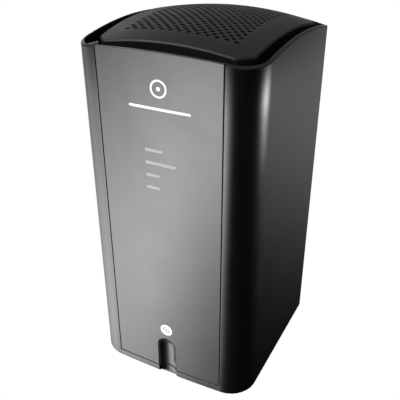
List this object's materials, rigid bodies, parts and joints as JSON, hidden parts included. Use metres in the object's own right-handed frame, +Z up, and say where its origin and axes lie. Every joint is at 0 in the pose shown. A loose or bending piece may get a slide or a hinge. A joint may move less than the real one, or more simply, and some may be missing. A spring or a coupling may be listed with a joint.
{
  "type": "cable modem",
  "caption": "Upright black cable modem and router tower with a bowed front, rounded corners, a domed vent cap, status windows, a scooped pairing button and a rear port bay.",
  "frame": {"origin": "centre of the footprint, on the surface the feet stand on", "axes": "+Z up, front faces -Y, ports face +Y, +X is the viewer's right when facing the front"},
  "size_m": [0.12, 0.122, 0.2464],
  "materials": {
    "casing": "fine satin gloss, moulded",
    "front": "fine satin gloss, moulded",
    "rear": "fine moulded texture",
    "base": "fine moulded texture",
    "feet": "matte",
    "screws": "zinc plated",
    "label": "blank sticker",
    "cap": "fine moulded texture",
    "tray": "dull black",
    "white_print": "satin white",
    "window": "milky lens",
    "clear": "clear moulding",
    "lamps": "milky",
    "button": "satin",
    "switch_case": "moulded",
    "plunger": "moulded",
    "power_cap": "satin",
    "jack_shell": "moulded",
    "phone_shell": "moulded",
    "contacts": "gold flash",
    "plated": "nickel plated",
    "nut": "nickel plated",
    "usb_insert": "moulded",
    "inlet_shell": "moulded",
    "coax_insert": "moulded",
    "board": "solder mask",
    "chassis": "moulded",
    "chips": "moulded",
    "pads": "soft pad",
    "sink": "black anodised",
    "shield": "tinned",
    "magnetics": "moulded",
    "capacitor_sleeve": "sleeved can",
    "header": "moulded",
    "antenna_plate": "laminate with copper",
    "leads": "thin coaxial lead"
  },
  "bodies": {
    "housing": {"outer_shell": "casing", "front_panel": "front", "rear_cover": "rear", "base_plate": "base", "rubber_feet": "feet", "base_screws": "screws", "cover_screws": "screws", "board_screws": "screws", "rating_label": "label", "top_cap": "cap", "cap_tray": "tray", "emblem": "white_print", "pair_disc": "white_print", "light_guide": "clear", "status_lamps": "lamps", "pair_switch": "switch_case", "power_switch": "switch_case", "reset_switch": "switch_case", "network_jacks": "jack_shell", "network_contacts": "contacts", "phone_jacks": "phone_shell", "phone_contacts": "contacts", "usb_port": "plated", "usb_tongue": "usb_insert", "power_inlet": "inlet_shell", "inlet_pin": "plated", "coax_connector": "plated", "coax_insulator": "coax_insert", "coax_nut": "nut", "main_board": "board", "chassis_frame": "chassis", "system_chip": "chips", "chip_thermal_pad": "pads", "heat_sink": "sink", "memory_chips": "chips", "flash_chip": "chips", "tuner_can": "shield", "network_magnetics": "magnetics", "capacitors": "capacitor_sleeve", "power_coils": "magnetics", "power_can": "shield", "wifi_board": "board", "board_connector": "header", "board_posts": "chassis", "wifi_can": "shield", "wifi_thermal_pad": "pads", "wifi_heat_sink": "sink", "antennas": "antenna_plate", "antenna_leads": "leads", "status_window_1": "window", "status_window_2": "window", "status_window_3": "window", "status_window_4": "window"},
    "pair_button": {"pair_button": "button"},
    "pair_plunger": {"pair_plunger": "plunger"},
    "power_button": {"power_button": "power_cap", "power_plunger": "plunger"},
    "reset_button": {"reset_button": "plunger"}
  },
  "joints": [
    {"name": "pair_press", "type": "slide", "parent": "housing", "child": "pair_button", "axis": [0, 1, 0], "range_m": [0, 0.0008], "stiffness_N_per_m": 800, "springref_m": -0.001},
    {"name": "pair_plunger_slide", "type": "slide", "parent": "housing", "child": "pair_plunger", "axis": [0, 1, 0], "range_m": [0, 0.0008]},
    {"name": "power_press", "type": "slide", "parent": "housing", "child": "power_button", "axis": [0, -1, 0], "range_m": [0, 0.002], "stiffness_N_per_m": 600, "springref_m": -0.001},
    {"name": "reset_press", "type": "slide", "parent": "housing", "child": "reset_button", "axis": [0, -1, 0], "range_m": [0, 0.0006], "stiffness_N_per_m": 500, "springref_m": -0.001}
  ],
  "couplings": [
    {"joint": "pair_plunger_slide", "follows": "pair_press", "ratio": 1}
  ]
}
